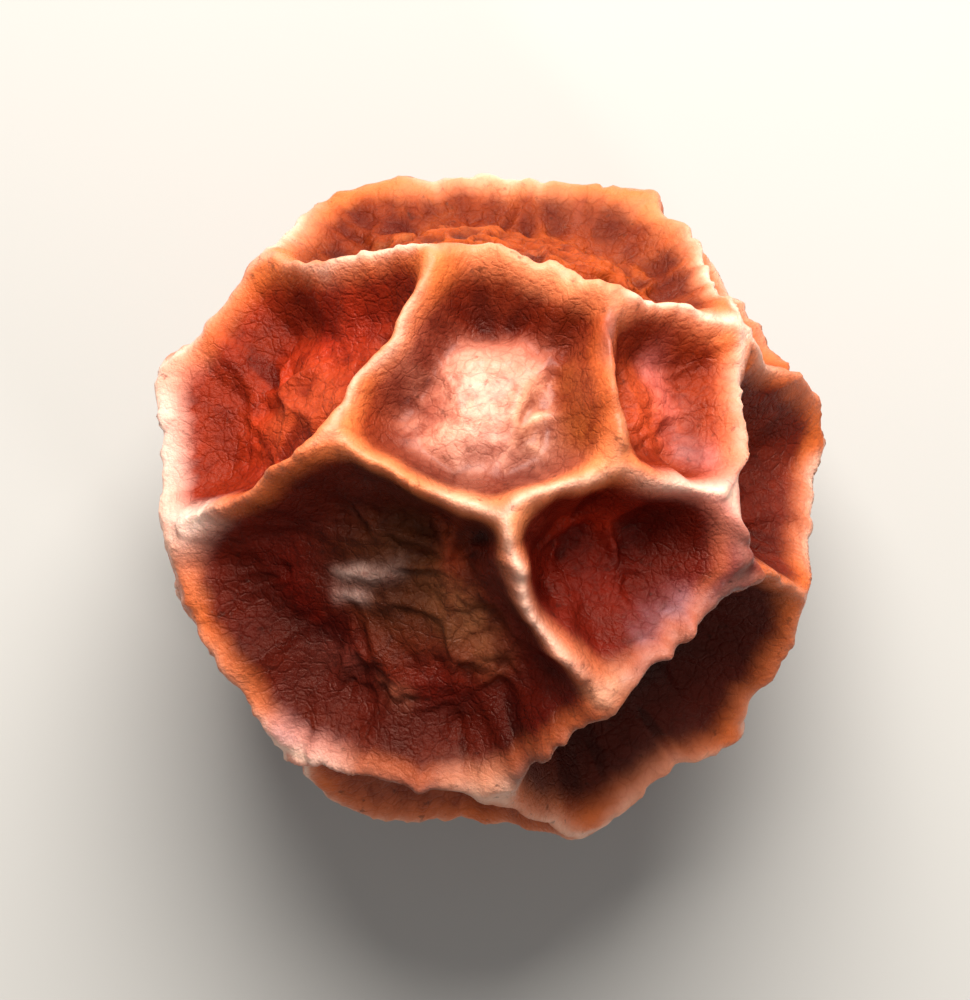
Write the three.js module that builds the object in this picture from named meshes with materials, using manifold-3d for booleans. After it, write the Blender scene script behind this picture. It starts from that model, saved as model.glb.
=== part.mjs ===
// A dried red peppercorn: one ripe berry whose skin has shrunk onto the seed, and stands up in a net
// of ridges round deep hollows. Millimetres, +Z up, origin in the middle of the flat spot it rests on.
import * as THREE from "three";
import { mergeVertices } from "three/addons/utils/BufferGeometryUtils.js";
import Module from "manifold-3d";

// Driving dimensions of the berry, in millimetres, measured over its ridges
const WIDTH = 5.0;
const LENGTH = 5.05;
const HEIGHT = 4.7;
const SPOT_RADIUS = 0.95;
const RIDGE_HEIGHT = 0.26;

// How softly a ridge rounds over and a hollow falls away from it, as shares of the berry's radius
const RIDGE_SOFTNESS = 0.05;
const HOLLOW_SOFTNESS = 0.072;

// How much of the hollows' depth a meeting of three ridges stands up above them
const JUNCTION_RISE = 0.4;
const RIDGE_LIMIT = 1.1;

// How sharply a hollow's round middle ends
const ROUND_EDGE = 4;

// Smooth random changes. The waver and the kinks push the ridges sideways, as shares of the radius. The
// swell is a share of the radius too. The strength is added to the share of its height that a ridge has.
const WAVER = { size: 0.055, frequency: 2.6, layer: 5 };
const KINK = { size: 0.018, frequency: 9, layer: 11 };
const SWELL = { size: 0.012, frequency: 1.7, layer: 31 };
const STRENGTH = { size: 0.4, frequency: 3.1, layer: 21 };
const MIDDLE_STRENGTH = 0.8;

// Large, unrelated factors that scramble a lattice corner's place into a random number
const MIX = { size: 43758.5453, i: 127.1, j: 311.7, k: 74.7, layer: 19.19 };

// How finely the ball is divided, and how strongly its corners gather along the ridges
const DIVISIONS = 21;
const GATHER_SOFTNESS = 0.1;
const GATHER = 0.003;
const PROBE_STEP = 1e-4;
const WELD_DISTANCE = 1e-4;

const SKIN_COLOUR = 0x9a4127;
const SKIN_ROUGHNESS = 0.5;

// The hollows of the skin. Each seed gives the direction of a hollow's middle, how far the hollow
// reaches beyond its fair share, its depth in millimetres at the foot of the ridges, how much deeper
// its round middle is, and the radius of that middle as a share of the berry's. Below 0 the middle is
// a raised pad. Seeds of one name make one long hollow.
const SEEDS = [
  { hollow: "brow", toward: [0.02, 0.36, 0.93], reach: 0.04, depth: 0.36, bowl: 0, round: 0.1 },
  { hollow: "brow", toward: [-0.14, 0.27, 0.95], reach: -0.03, depth: 0.36, bowl: 0, round: 0.1 },
  { hollow: "brow", toward: [0, 0.33, 0.94], reach: -0.2, depth: 0.36, bowl: -0.2, round: 0.28 },
  { hollow: "left", toward: [-0.71, 0.35, 0.61], reach: 0, depth: 0.32, bowl: -0.06, round: 0.24 },
  { hollow: "left", toward: [-0.37, 0.6, 0.71], reach: -0.16, depth: 0.32, bowl: 0, round: 0.1 },
  { hollow: "right", toward: [0.6, 0.28, 0.75], reach: -0.05, depth: 0.32, bowl: -0.06, round: 0.2 },
  { hollow: "crown", toward: [-0.16, 0.92, 0.34], reach: 0.03, depth: 0.26, bowl: -0.06, round: 0.2 },
  { hollow: "crown", toward: [0.32, 0.84, 0.42], reach: 0.03, depth: 0.26, bowl: -0.06, round: 0.18 },
  { hollow: "pit", toward: [-0.44, -0.3, 0.85], reach: 0.13, depth: 0.42, bowl: 0, round: 0.1 },
  { hollow: "pit", toward: [-0.14, -0.49, 0.86], reach: 0.06, depth: 0.42, bowl: 0, round: 0.1 },
  { hollow: "pit", toward: [-0.34, -0.3, 0.89], reach: -0.2, depth: 0.42, bowl: 0.2, round: 0.4 },
  { hollow: "nook", toward: [0.34, -0.2, 0.92], reach: -0.09, depth: 0.4, bowl: 0.14, round: 0.2 },
  { hollow: "nook", toward: [0.58, -0.16, 0.8], reach: -0.13, depth: 0.4, bowl: 0.06, round: 0.16 },
  { hollow: "chin", toward: [-0.12, -0.98, 0.1], reach: -0.03, depth: 0.34, bowl: -0.06, round: 0.24 },
  { hollow: "flank", toward: [0.92, 0.08, 0.36], reach: 0.04, depth: 0.42, bowl: 0.06, round: 0.22 },
  { hollow: "heel", toward: [0.72, -0.58, 0.38], reach: 0.05, depth: 0.46, bowl: 0.18, round: 0.24 },
  { hollow: "heel", toward: [0.42, -0.82, 0.38], reach: -0.05, depth: 0.46, bowl: 0, round: 0.1 },
  { hollow: "jaw", toward: [-0.82, -0.55, -0.14], reach: -0.05, depth: 0.38, bowl: -0.08, round: 0.22 },
  { hollow: "cheek", toward: [-0.97, 0.06, -0.24], reach: 0.02, depth: 0.4, bowl: 0.06, round: 0.2 },
  { hollow: "ear", toward: [-0.8, 0.58, -0.22], reach: -0.03, depth: 0.36, bowl: -0.06, round: 0.18 },
  { hollow: "temple", toward: [0.8, 0.6, 0.02], reach: -0.03, depth: 0.42, bowl: 0.06, round: 0.22 },
  { hollow: "nape", toward: [-0.08, 0.92, -0.38], reach: -0.02, depth: 0.44, bowl: 0.08, round: 0.2 },
  { hollow: "nape", toward: [0.3, 0.86, -0.4], reach: -0.06, depth: 0.44, bowl: 0.08, round: 0.2 },
  { hollow: "hip", toward: [0.78, 0.38, -0.5], reach: 0, depth: 0.4, bowl: -0.1, round: 0.24 },
  { hollow: "elbow", toward: [0.9, -0.3, -0.26], reach: 0, depth: 0.44, bowl: 0.08, round: 0.2 },
  { hollow: "elbow", toward: [0.82, -0.26, -0.5], reach: -0.06, depth: 0.44, bowl: 0.08, round: 0.2 },
  { hollow: "keel", toward: [0.36, -0.86, -0.36], reach: 0, depth: 0.44, bowl: 0.2, round: 0.24 },
  { hollow: "fold", toward: [-0.34, -0.8, -0.5], reach: 0, depth: 0.42, bowl: -0.1, round: 0.22 },
  { hollow: "wing", toward: [-0.84, -0.22, -0.5], reach: -0.03, depth: 0.38, bowl: -0.06, round: 0.18 },
  { hollow: "wing", toward: [-0.62, -0.3, -0.72], reach: -0.04, depth: 0.38, bowl: -0.06, round: 0.18 },
  { hollow: "scar", toward: [-0.58, 0.6, -0.55], reach: -0.26, depth: 0.16, bowl: 0, round: 0.1 },
  { hollow: "back", toward: [-0.3, 0.3, -0.9], reach: -0.08, depth: 0.4, bowl: 0.06, round: 0.2 },
  { hollow: "rear", toward: [0.3, 0.46, -0.83], reach: 0, depth: 0.42, bowl: 0.12, round: 0.22 },
  { hollow: "under", toward: [0.42, -0.4, -0.82], reach: 0, depth: 0.42, bowl: -0.06, round: 0.22 },
  { hollow: "sole", toward: [0, 0, -1], reach: -0.18, depth: 0.02, bowl: -0.26, round: 0.42 },
];

// How far above the spot the berry's middle is, as a share of half its height over the ridges
const SPOT_CUT = Math.sqrt(1 - (SPOT_RADIUS / (WIDTH / 2)) ** 2);
const HALF_HEIGHT = HEIGHT / (1 + SPOT_CUT);
const MIDDLE_HEIGHT = HALF_HEIGHT * SPOT_CUT;

// The plump berry inside the ridges
const RIDGE_RISE = RIDGE_HEIGHT * MIDDLE_STRENGTH;
const HALF_SIZE = new THREE.Vector3(WIDTH / 2, LENGTH / 2, HALF_HEIGHT).subScalar(RIDGE_RISE);

const HOLLOW_NAMES = [...new Set(SEEDS.map((seed) => seed.hollow))];
const HOLLOW_DEPTHS = HOLLOW_NAMES.map((name) => SEEDS.find((seed) => seed.hollow === name).depth);
for (const seed of SEEDS) {
  seed.middle = new THREE.Vector3(...seed.toward).normalize();
  seed.index = HOLLOW_NAMES.indexOf(seed.hollow);
}

// A repeatable number from 0 to 1 for one corner of a cubic lattice
function cornerValue(i, j, k, layer) {
  const mixed = MIX.size * Math.sin(i * MIX.i + j * MIX.j + k * MIX.k + layer * MIX.layer);
  return mixed - Math.floor(mixed);
}

// Smooth noise from -1 to 1 at a point, different for each layer
function noise(point, frequency, layer) {
  const scaled = point.clone().multiplyScalar(frequency);
  const low = scaled.clone().floor();
  const ease = (t) => t * t * t * (t * (t * 6 - 15) + 10);
  const weight = scaled.sub(low).toArray().map(ease);
  let sum = 0;
  for (let corner = 0; corner < 8; corner += 1) {
    const step = [corner & 1, (corner >> 1) & 1, (corner >> 2) & 1];
    const share = step.reduce((all, up, axis) => all * (up ? weight[axis] : 1 - weight[axis]), 1);
    sum += share * cornerValue(low.x + step[0], low.y + step[1], low.z + step[2], layer);
  }
  return 2 * sum - 1;
}

// One of the smooth random changes at a point
function change(point, { size, frequency, layer }) {
  return size * noise(point, frequency, layer);
}

// The same change along each of the three axes, all different
function push(point, { size, frequency, layer }) {
  const along = [0, 1, 2].map((axis) => size * noise(point, frequency, layer + axis));
  return new THREE.Vector3(...along);
}

// Pushes a direction sideways, so that the ridges waver and kink as they do on shrunken skin
function wavered(direction) {
  return direction.clone().add(push(direction, WAVER)).add(push(direction, KINK));
}

// How much of a point belongs to each hollow: nearly all to one on its floor, shared on a ridge
function hollowShares(point, softness) {
  const gaps = SEEDS.map((seed) => point.distanceTo(seed.middle) - seed.reach);
  const nearest = Math.min(...gaps);
  const weights = gaps.map((gap) => Math.exp((nearest - gap) / softness));
  const total = weights.reduce((sum, weight) => sum + weight, 0);
  const shares = new Array(HOLLOW_NAMES.length).fill(0);
  SEEDS.forEach((seed, i) => {
    shares[seed.index] += weights[i] / total;
  });
  return shares;
}

// The net of ridges: 0 on a hollow's floor, 1 on the line between two hollows, 4/3 where three meet
function ridgeNet(shares) {
  return 2 * (1 - shares.reduce((sum, share) => sum + share * share, 0));
}

// Distance of the smooth, unshrunk berry's surface from its middle
function plumpRadius(direction) {
  return (1 + change(direction, SWELL)) / direction.clone().divide(HALF_SIZE).length();
}

// How far the hollows take a point down below the ridges
function hollowDepth(point) {
  const shares = hollowShares(point, HOLLOW_SOFTNESS);
  const foot = shares.reduce((sum, share, i) => sum + share * HOLLOW_DEPTHS[i], 0);
  const sunk = 1 - ridgeNet(shares);
  const middle = SEEDS.reduce((sum, seed) => {
    const away = point.distanceTo(seed.middle) / seed.round;
    return sum + seed.bowl * Math.exp(-(away ** ROUND_EDGE));
  }, 0);
  return foot * (sunk > 0 ? sunk : sunk * JUNCTION_RISE) + middle;
}

// Distance of the shrunken skin from the berry's middle
function skinRadius(direction) {
  const point = wavered(direction);
  const ridge = Math.min(ridgeNet(hollowShares(point, RIDGE_SOFTNESS)), RIDGE_LIMIT);
  const strength = MIDDLE_STRENGTH + change(direction, STRENGTH);
  return plumpRadius(direction) - hollowDepth(point) + RIDGE_HEIGHT * strength * ridge;
}

// Moves a direction a little way up the slopes of the net, so that more corners lie along the ridges
function gathered(direction) {
  const netAt = (point) => ridgeNet(hollowShares(wavered(point), GATHER_SOFTNESS));
  const here = netAt(direction);
  const probes = [new THREE.Vector3(1, 0, 0), new THREE.Vector3(0, 1, 0), new THREE.Vector3(0, 0, 1)];
  const moved = direction.clone();
  for (const probe of probes) {
    const ahead = direction.clone().addScaledVector(probe, PROBE_STEP);
    moved.addScaledVector(probe, (GATHER * (netAt(ahead) - here)) / PROBE_STEP);
  }
  return moved.normalize();
}

// A closed geometry whose neighbouring triangles share their corners
function welded(geometry) {
  geometry.deleteAttribute("normal");
  geometry.deleteAttribute("uv");
  return mergeVertices(geometry, WELD_DISTANCE);
}

// The whole berry, standing with the bottom of its shrunken skin below z = 0
function berryGeometry() {
  const geometry = welded(new THREE.IcosahedronGeometry(1, DIVISIONS));
  const corners = geometry.attributes.position;
  const corner = new THREE.Vector3();
  for (let i = 0; i < corners.count; i += 1) {
    corner.fromBufferAttribute(corners, i).normalize();
    const direction = gathered(corner);
    corner.copy(direction).multiplyScalar(skinRadius(direction));
    corners.setXYZ(i, corner.x, corner.y, corner.z + MIDDLE_HEIGHT);
  }
  return geometry;
}

// The block that is cut away to leave the flat spot, with its top face at z = 0
function blockGeometry() {
  const side = WIDTH + LENGTH;
  return welded(new THREE.BoxGeometry(side, side, side).translate(0, 0, -side / 2));
}

const wasm = await Module();
wasm.setup();

function toSolid(geometry) {
  const vertProperties = new Float32Array(geometry.attributes.position.array);
  const triVerts = new Uint32Array(geometry.index.array);
  return new wasm.Manifold(new wasm.Mesh({ numProp: 3, vertProperties, triVerts }));
}

function toGeometry(solid) {
  const mesh = solid.getMesh();
  const geometry = new THREE.BufferGeometry();
  geometry.setAttribute("position", new THREE.BufferAttribute(mesh.vertProperties, 3));
  geometry.setIndex(new THREE.BufferAttribute(mesh.triVerts, 1));
  geometry.computeVertexNormals();
  return geometry;
}

function makePeppercorn() {
  const solid = toSolid(berryGeometry()).subtract(toSolid(blockGeometry()));
  const skin = new THREE.MeshStandardMaterial({
    color: SKIN_COLOUR,
    roughness: SKIN_ROUGHNESS,
    metalness: 0,
    flatShading: true,
  });
  const peppercorn = new THREE.Mesh(toGeometry(solid), skin);
  peppercorn.name = "peppercorn";
  return peppercorn;
}

const group = new THREE.Group();
group.add(makePeppercorn());

export default group;
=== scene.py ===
"""A dried red peppercorn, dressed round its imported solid.

Its skin has shrunk onto the seed and stands up in a net of ridges round deep hollows. The mesh follows
the same formula as the solid, with the finer wrinkles, grain and colours that the solid leaves out.
"""
import math

import bpy
import numpy as np
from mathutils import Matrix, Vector


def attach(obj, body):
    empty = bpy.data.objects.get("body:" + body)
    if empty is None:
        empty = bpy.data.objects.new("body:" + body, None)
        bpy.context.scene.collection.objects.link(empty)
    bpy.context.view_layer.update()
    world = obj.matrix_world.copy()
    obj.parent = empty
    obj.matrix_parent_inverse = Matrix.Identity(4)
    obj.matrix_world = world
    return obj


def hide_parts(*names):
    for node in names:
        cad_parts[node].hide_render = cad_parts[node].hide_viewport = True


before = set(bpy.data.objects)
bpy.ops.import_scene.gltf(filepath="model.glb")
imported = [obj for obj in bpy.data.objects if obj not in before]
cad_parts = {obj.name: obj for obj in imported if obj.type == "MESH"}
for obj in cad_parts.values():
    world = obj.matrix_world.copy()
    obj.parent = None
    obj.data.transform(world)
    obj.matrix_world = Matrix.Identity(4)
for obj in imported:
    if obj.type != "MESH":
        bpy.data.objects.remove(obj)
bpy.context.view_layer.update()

MM = 0.001

# Keeps a distance or a sum that something is divided by above 0
TINY = 1e-9

# Driving dimensions of the berry, in millimetres, measured over its ridges
WIDTH = 5.0
LENGTH = 5.05
HEIGHT = 4.7
SPOT_RADIUS = 0.95
RIDGE_HEIGHT = 0.26

# How softly a ridge rounds over and a hollow falls away from it, as shares of the berry's radius
RIDGE_SOFTNESS = 0.05
HOLLOW_SOFTNESS = 0.072

# How much of the hollows' depth a meeting of three ridges stands up above them
JUNCTION_RISE = 0.4
RIDGE_LIMIT = 1.1

# How sharply a round middle ends, of a hollow or of the scar
ROUND_EDGE = 4

# Smooth random changes: size, frequency and layer. The waver and the kinks push the ridges sideways, as
# shares of the radius. The swell is a share of the radius too. The strength is added to the share of its
# height that a ridge has.
WAVER = (0.055, 2.6, 5)
KINK = (0.018, 9, 11)
SWELL = (0.012, 1.7, 31)
STRENGTH = (0.4, 3.1, 21)
MIDDLE_STRENGTH = 0.8

# Large, unrelated factors that scramble a lattice corner's place and layer into a random number
MIX = (127.1, 311.7, 74.7, 19.19)
MIX_SIZE = 43758.5453

# Squares along one side of each face of the cube that is blown up into the ball
GRID_STEPS = 126

# How softly a crest, the pale line on it, which is partly a painted highlight, and the painted shade at a
# ridge's foot end, as shares of the radius
CREST_SOFTNESS = 0.03
PALE_HIGHLIGHT_SOFTNESS = 0.014
FOOT_SHADE_SOFTNESS = 0.08

# The finer relief that only the visible skin has, in millimetres
CREST_HEIGHT = 0.03
PLEAT_DEPTH = 0.075
WRINKLE_HEIGHT = 0.08
CRACKLE_HEIGHT = 0.03
LUMP_HEIGHT = 0.06
GRAIN_HEIGHT = 0.012
NET_HEIGHT = 0.05

# How far the skin between its wrinkles lies below the solid's surface, so that both are the same size
RELIEF_FOOT = 0.055

# Frequency and layer of the finer relief's patterns, and how high the fine grain is beside the coarse one
WRINKLES = (4.6, 51)
CRACKLE = (13, 71)
LUMPS = (5.2, 91)
GRAIN = (14, 43)
FINE_GRAIN = (30, 44)
FINE_GRAIN_SHARE = 0.7
COARSE_NET = (8, 101)

# Shares that change smoothly from place to place, as middle, spread, frequency and layer: how high the worn
# crests are, how strong the wrinkles and the crackle are, how pale a crest and its painted highlight are, and
# how deep the scar is torn
WORN = (0.6, 0.5, 4.3, 81)
WRINKLED = (0.6, 1.0, 2.7, 55)
CRACKLED = (0.5, 1.0, 4, 75)
PALE = (0.4, 0.7, 2.9, 83)
TORN = (0.7, 0.6, 26, 95)

# A net of wrinkles, measured in its own cells: how far it is bent sideways, how often the bend changes, how
# many layers above the net's own the bend's noise lies, how wide a crest is, and a distance that is further
# than the two nearest dots of any point
NET_BEND = 0.35
NET_BEND_FREQUENCY = 0.9
NET_BEND_LAYER = 5
NET_CREST_WIDTH = 0.22
FURTHER_THAN_ANY_DOT = 9.0

# The creases up to the ridges follow noise on a ring round each seed: the ring's radius, how far the noise
# moves on towards the ridges and from one seed to the next, and its waves, as size, frequency and layer
PLEAT_RING = 2.3
PLEAT_MOVE = 1.5
PLEAT_SHIFT = 3.7
PLEAT_WAVES = [(1.0, 1, 61), (0.5, 2.3, 62), (0.35, 4.7, 63)]

# Where those creases start and over what distance they grow, as shares of the radius, how strongly a seed
# has to claim a point for its creases to reach there, and a direction that no seed lies in, which sets where
# each ring begins
PLEAT_START = 0.1
PLEAT_GROWTH = 0.2
PLEAT_CLAIM = 0.02
NO_SEEDS_DIRECTION = (0.31, 0.52, 0.79)

# How steeply those creases grow towards the ridges, and how much of them a ridge takes away
SLOPE_STRENGTH = 1.6
RIB_CALM = 0.7

# The scar where the berry grew on its stalk, with the width of its ring and the size of its torn middle as
# shares of its own radius
SCAR_MIDDLE = (-0.58, 0.6, -0.55)
SCAR_RADIUS = 0.14
SCAR_HEIGHT = 0.07
SCAR_RING_WIDTH = 0.28
SCAR_TORN_SIZE = 0.75

# The dry tip of the flower at the other end
TIP_MIDDLE = (0.72, -0.6, 0.35)
TIP_RADIUS = 0.05
TIP_HEIGHT = 0.1

# The hollows of the skin: name, direction of the middle, reach beyond a fair share, depth in millimetres at
# the foot of the ridges, how much deeper still the round middle is, and that middle's radius as a share of
# the berry's. Below 0 the middle is a raised pad. Seeds of one name make one long hollow.
SEEDS = [
    ("brow", (0.02, 0.36, 0.93), 0.04, 0.36, 0.0, 0.1),
    ("brow", (-0.14, 0.27, 0.95), -0.03, 0.36, 0.0, 0.1),
    ("brow", (0.0, 0.33, 0.94), -0.2, 0.36, -0.2, 0.28),
    ("left", (-0.71, 0.35, 0.61), 0.0, 0.32, -0.06, 0.24),
    ("left", (-0.37, 0.6, 0.71), -0.16, 0.32, 0.0, 0.1),
    ("right", (0.6, 0.28, 0.75), -0.05, 0.32, -0.06, 0.2),
    ("crown", (-0.16, 0.92, 0.34), 0.03, 0.26, -0.06, 0.2),
    ("crown", (0.32, 0.84, 0.42), 0.03, 0.26, -0.06, 0.18),
    ("pit", (-0.44, -0.3, 0.85), 0.13, 0.42, 0.0, 0.1),
    ("pit", (-0.14, -0.49, 0.86), 0.06, 0.42, 0.0, 0.1),
    ("pit", (-0.34, -0.3, 0.89), -0.2, 0.42, 0.2, 0.4),
    ("nook", (0.34, -0.2, 0.92), -0.09, 0.4, 0.14, 0.2),
    ("nook", (0.58, -0.16, 0.8), -0.13, 0.4, 0.06, 0.16),
    ("chin", (-0.12, -0.98, 0.1), -0.03, 0.34, -0.06, 0.24),
    ("flank", (0.92, 0.08, 0.36), 0.04, 0.42, 0.06, 0.22),
    ("heel", (0.72, -0.58, 0.38), 0.05, 0.46, 0.18, 0.24),
    ("heel", (0.42, -0.82, 0.38), -0.05, 0.46, 0.0, 0.1),
    ("jaw", (-0.82, -0.55, -0.14), -0.05, 0.38, -0.08, 0.22),
    ("cheek", (-0.97, 0.06, -0.24), 0.02, 0.4, 0.06, 0.2),
    ("ear", (-0.8, 0.58, -0.22), -0.03, 0.36, -0.06, 0.18),
    ("temple", (0.8, 0.6, 0.02), -0.03, 0.42, 0.06, 0.22),
    ("nape", (-0.08, 0.92, -0.38), -0.02, 0.44, 0.08, 0.2),
    ("nape", (0.3, 0.86, -0.4), -0.06, 0.44, 0.08, 0.2),
    ("hip", (0.78, 0.38, -0.5), 0.0, 0.4, -0.1, 0.24),
    ("elbow", (0.9, -0.3, -0.26), 0.0, 0.44, 0.08, 0.2),
    ("elbow", (0.82, -0.26, -0.5), -0.06, 0.44, 0.08, 0.2),
    ("keel", (0.36, -0.86, -0.36), 0.0, 0.44, 0.2, 0.24),
    ("fold", (-0.34, -0.8, -0.5), 0.0, 0.42, -0.1, 0.22),
    ("wing", (-0.84, -0.22, -0.5), -0.03, 0.38, -0.06, 0.18),
    ("wing", (-0.62, -0.3, -0.72), -0.04, 0.38, -0.06, 0.18),
    ("scar", (-0.58, 0.6, -0.55), -0.26, 0.16, 0.0, 0.1),
    ("back", (-0.3, 0.3, -0.9), -0.08, 0.4, 0.06, 0.2),
    ("rear", (0.3, 0.46, -0.83), 0.0, 0.42, 0.12, 0.22),
    ("under", (0.42, -0.4, -0.82), 0.0, 0.42, -0.06, 0.22),
    ("sole", (0.0, 0.0, -1.0), -0.18, 0.02, -0.26, 0.42),
]

# The skin's colour in each hollow and in its round middle, as red, green and blue on a screen: its own
# colour, but the heel's is painted shade and the brow's pale middle is partly a painted highlight
PLAIN_TINT = (0.54, 0.16, 0.07)
TINTS = {
    "brow": (0.66, 0.25, 0.07),
    "left": (0.74, 0.22, 0.085),
    "right": (0.72, 0.25, 0.08),
    "crown": (0.58, 0.22, 0.04),
    "pit": (0.42, 0.06, 0.02),
    "nook": (0.56, 0.12, 0.05),
    "chin": (0.82, 0.42, 0.26),
    # Painted shade: the heel lies in shade below the nook's lip
    "heel": (0.2, 0.04, 0.03),
    "scar": (0.55, 0.36, 0.23),
}
MIDDLE_TINTS = {
    # Partly the pad's own pale tint, partly a painted highlight
    "brow": (0.97, 0.7, 0.6),
    "left": (0.72, 0.27, 0.13),
    "right": (0.8, 0.33, 0.17),
    "pit": (0.34, 0.17, 0.08),
    "nook": (0.46, 0.1, 0.05),
    # Painted shade, as for the heel above
    "heel": (0.14, 0.035, 0.025),
    "keel": (0.3, 0.08, 0.04),
    "rear": (0.36, 0.1, 0.05),
}

# How wide a round middle's colour is beside its relief, and how sharply the colour ends
TINT_ROUND = 1.05
TINT_EDGE = 4

# Stretches of ridge with a paler crest and a stronger painted highlight on it, or below 0 a plainer one:
# directions of the start and the end, half width and strength
PALE_HIGHLIGHT_RIMS = [
    ((-0.94, 0.35, 0.1), (-0.99, 0.02, 0.12), 0.14, 1.0),
    ((-0.6, -0.78, 0.15), (-0.46, -0.79, 0.41), 0.12, 1.0),
    ((-0.42, -0.81, 0.42), (-0.12, -0.85, 0.51), 0.1, -0.8),
    ((-0.08, -0.85, 0.52), (0.03, -0.84, 0.54), 0.08, 0.8),
    ((0.1, -0.8, 0.58), (0.3, -0.6, 0.74), 0.1, -0.8),
    ((0.59, 0.05, 0.8), (0.71, 0.0, 0.7), 0.1, 1.0),
    ((0.36, 0.52, 0.77), (0.36, 0.2, 0.91), 0.1, -1.0),
    ((0.48, -0.42, 0.77), (0.8, -0.1, 0.6), 0.1, -0.7),
    ((-0.9, 0.4, 0.1), (-0.64, 0.76, 0.1), 0.12, 1.0),
    ((-0.64, 0.76, 0.1), (-0.2, 0.78, 0.59), 0.1, 1.0),
    ((-0.2, 0.78, 0.59), (0.41, 0.62, 0.67), 0.08, 1.0),
    ((0.41, 0.62, 0.67), (0.8, 0.58, 0.15), 0.08, 1.0),
]
LEAST_PALENESS = 0.1

# Stretches of ridge that are pale or peach over their whole width: directions of the start and the end, half
# width, tint, and share of the tint. The palest, on the left rim, the right rim, the nook's lip and the lower
# lip, are painted highlights.
RIMS = [
    # Painted highlights on the left rim
    ((-0.9, 0.36, 0.24), (-0.94, 0.2, 0.27), 0.08, (0.92, 0.66, 0.58), 0.85),
    ((-0.94, 0.2, 0.27), (-0.89, -0.06, 0.45), 0.12, (1.0, 0.86, 0.8), 0.95),
    ((-0.56, 0.82, 0.08), (-0.66, 0.74, 0.12), 0.1, (0.84, 0.5, 0.34), 0.8),
    ((-0.62, 0.72, 0.3), (-0.37, 0.72, 0.58), 0.08, (0.9, 0.48, 0.26), 0.8),
    ((-0.37, 0.93, -0.02), (0.0, 1.0, 0.01), 0.1, (0.86, 0.46, 0.24), 0.8),
    ((0.0, 1.0, 0.01), (0.5, 0.87, 0.07), 0.1, (0.9, 0.52, 0.32), 0.8),
    ((-0.16, 0.66, 0.73), (-0.44, 0.28, 0.85), 0.07, (0.9, 0.48, 0.24), 0.8),
    ((-0.44, 0.17, 0.88), (-0.07, 0.03, 1.0), 0.08, (0.92, 0.52, 0.32), 0.85),
    ((-0.07, 0.03, 1.0), (0.1, -0.08, 0.99), 0.08, (0.93, 0.56, 0.36), 0.9),
    ((0.1, -0.08, 0.99), (0.36, 0.12, 0.92), 0.08, (0.92, 0.54, 0.34), 0.9),
    ((0.0, 0.7, 0.71), (0.23, 0.62, 0.75), 0.08, (0.95, 0.56, 0.38), 0.85),
    ((0.23, 0.62, 0.75), (0.41, 0.56, 0.72), 0.07, (0.95, 0.56, 0.38), 0.85),
    ((0.43, 0.57, 0.7), (0.62, 0.56, 0.56), 0.08, (0.92, 0.52, 0.36), 0.85),
    ((0.37, 0.47, 0.8), (0.4, 0.4, 0.82), 0.06, (0.48, 0.12, 0.05), 0.9),
    ((0.42, 0.36, 0.83), (0.38, 0.2, 0.9), 0.08, (0.76, 0.34, 0.14), 0.9),
    # Painted highlight on the right rim
    ((0.59, 0.05, 0.8), (0.71, 0.0, 0.7), 0.1, (0.96, 0.62, 0.56), 0.95),
    ((0.75, 0.37, 0.55), (0.76, 0.2, 0.62), 0.08, (0.84, 0.42, 0.28), 0.8),
    ((0.74, -0.18, 0.64), (0.84, -0.04, 0.54), 0.09, (0.52, 0.18, 0.13), 0.85),
    ((0.12, -0.24, 0.96), (0.28, -0.46, 0.84), 0.07, (0.7, 0.4, 0.3), 0.8),
    # Painted highlight on the nook's lip
    ((0.33, -0.52, 0.79), (0.38, -0.48, 0.79), 0.05, (0.85, 0.6, 0.46), 0.85),
    ((0.46, -0.44, 0.77), (0.72, -0.24, 0.65), 0.1, (0.44, 0.23, 0.22), 0.9),
    # Painted highlight on the lower lip
    ((-0.58, -0.73, 0.35), (-0.48, -0.78, 0.4), 0.07, (0.94, 0.7, 0.68), 0.95),
    ((-0.42, -0.8, 0.43), (-0.12, -0.85, 0.51), 0.08, (0.47, 0.2, 0.15), 0.9),
    # Painted highlight on the lower lip
    ((-0.08, -0.85, 0.52), (0.03, -0.84, 0.54), 0.06, (0.96, 0.66, 0.52), 0.9),
    ((0.07, -0.82, 0.57), (0.3, -0.6, 0.74), 0.08, (0.4, 0.16, 0.12), 0.9),
]

# At what share of a ridge's height a rim's colour starts and is full
RIM_FOOT = 0.5
RIM_TOP = 1.0
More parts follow.
